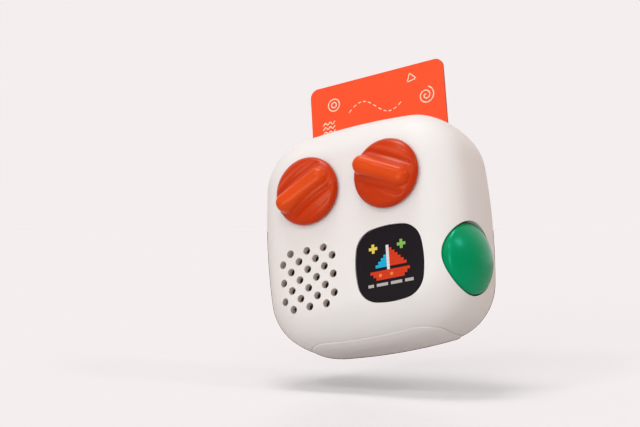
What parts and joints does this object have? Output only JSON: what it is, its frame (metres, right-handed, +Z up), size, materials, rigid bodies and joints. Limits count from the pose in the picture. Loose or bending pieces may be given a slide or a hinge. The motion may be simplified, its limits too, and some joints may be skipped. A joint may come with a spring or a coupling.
{
  "type": "audio story player",
  "caption": "Rounded-cube audio player for children, with a card slot on top, pixel display, speaker grille, turning and pressing knobs and a domed play button.",
  "frame": {"origin": "centre of the flat face of the base pad, under the middle of the body", "axes": "+Z up along the body's height, +X to the right as seen from the front, -Y out of the face with the knobs, the grille and the display"},
  "size_m": [0.0812, 0.0494, 0.1023],
  "materials": {
    "shell": "satin off-white",
    "pad": "soft matt off-white",
    "card": "smooth orange-red",
    "grey_plastic": "satin",
    "mesh": "matt",
    "foam": "matt",
    "steel": "satin",
    "black_rubber": "matt",
    "paper_cone": "matt",
    "copper": "bright",
    "ferrite": "matt",
    "brass": "bright",
    "black_plastic": "matt",
    "window": "polished",
    "tape": "matt",
    "diffuser": "matt",
    "board": "satin",
    "green_plastic": "glossy",
    "silicone": "matt",
    "chip": "matt",
    "tin": "satin",
    "pouch": "satin",
    "ivory_plastic": "matt",
    "lead": "matt",
    "screw_steel": "satin",
    "red_plastic": "glossy"
  },
  "bodies": {
    "body": {"front_shell": "shell", "rear_shell": "shell", "base_pad": "pad", "slot_collar": "shell", "card_sleeve": "grey_plastic", "speaker_mesh": "mesh", "speaker_gasket": "foam", "speaker_basket": "steel", "speaker_surround": "black_rubber", "speaker_cone": "paper_cone", "voice_coil": "copper", "speaker_magnet": "ferrite", "speaker_yoke": "steel", "speaker_terminals": "brass", "speaker_clamp": "black_plastic", "display_window": "window", "window_tape": "tape", "display_diffuser": "diffuser", "pixel_grid": "black_plastic", "lamp_board": "board", "display_holder": "black_plastic", "display_header": "black_plastic", "button_dome": "silicone", "play_switch": "black_plastic", "switch_board": "board", "switch_header": "black_plastic", "main_board": "board", "board_chips": "chip", "radio_module": "tin", "nfc_board": "board", "nfc_coil": "copper", "battery_cell": "pouch", "battery_foam": "foam", "battery_tray": "grey_plastic", "port_board": "board", "port_header": "black_plastic", "usb_port": "tin", "audio_jack": "black_plastic", "speaker_plug": "ivory_plastic", "battery_plug": "ivory_plastic", "reader_plug": "ivory_plastic", "speaker_lead": "lead", "battery_lead": "lead", "reader_lead": "lead", "case_screws": "screw_steel", "board_screws": "screw_steel", "sleeve_screws": "screw_steel", "short_screws": "screw_steel", "left_encoder_body": "tin", "left_snap_dome": "tin", "right_encoder_body": "tin", "right_snap_dome": "tin"},
    "left_plunger": {"left_push_plate": "grey_plastic"},
    "left_dial": {"left_knob": "red_plastic", "left_shaft": "steel"},
    "right_plunger": {"right_push_plate": "grey_plastic"},
    "right_dial": {"right_knob": "red_plastic", "right_shaft": "steel"},
    "button": {"play_button": "green_plastic"},
    "card": {"story_card": "card"}
  },
  "joints": [
    {"name": "left_knob_press", "type": "slide", "parent": "body", "child": "left_plunger", "axis": [0, 1, 0], "range_m": [0, 0.0005], "stiffness_N_per_m": 3000, "springref_m": -0.0003},
    {"name": "left_knob_turn", "type": "hinge", "parent": "left_plunger", "child": "left_dial", "pos_m": [-0.0153, -0.0256, 0.0543], "axis": [0, -1, 0], "continuous": true},
    {"name": "right_knob_press", "type": "slide", "parent": "body", "child": "right_plunger", "axis": [0, 1, 0], "range_m": [0, 0.0005], "stiffness_N_per_m": 3000, "springref_m": -0.0003},
    {"name": "right_knob_turn", "type": "hinge", "parent": "right_plunger", "child": "right_dial", "pos_m": [0.0153, -0.0256, 0.0543], "axis": [0, -1, 0], "continuous": true},
    {"name": "play_button_press", "type": "slide", "parent": "body", "child": "button", "axis": [-0.973, 0.2211, 0.0663], "range_m": [0, 0.001], "stiffness_N_per_m": 2000, "springref_m": -0.0003, "deforming": ["button_dome"]},
    {"name": "card_slide", "type": "slide", "parent": "body", "child": "card", "axis": [0, 0, 1], "range_m": [0, 0.065]}
  ]
}
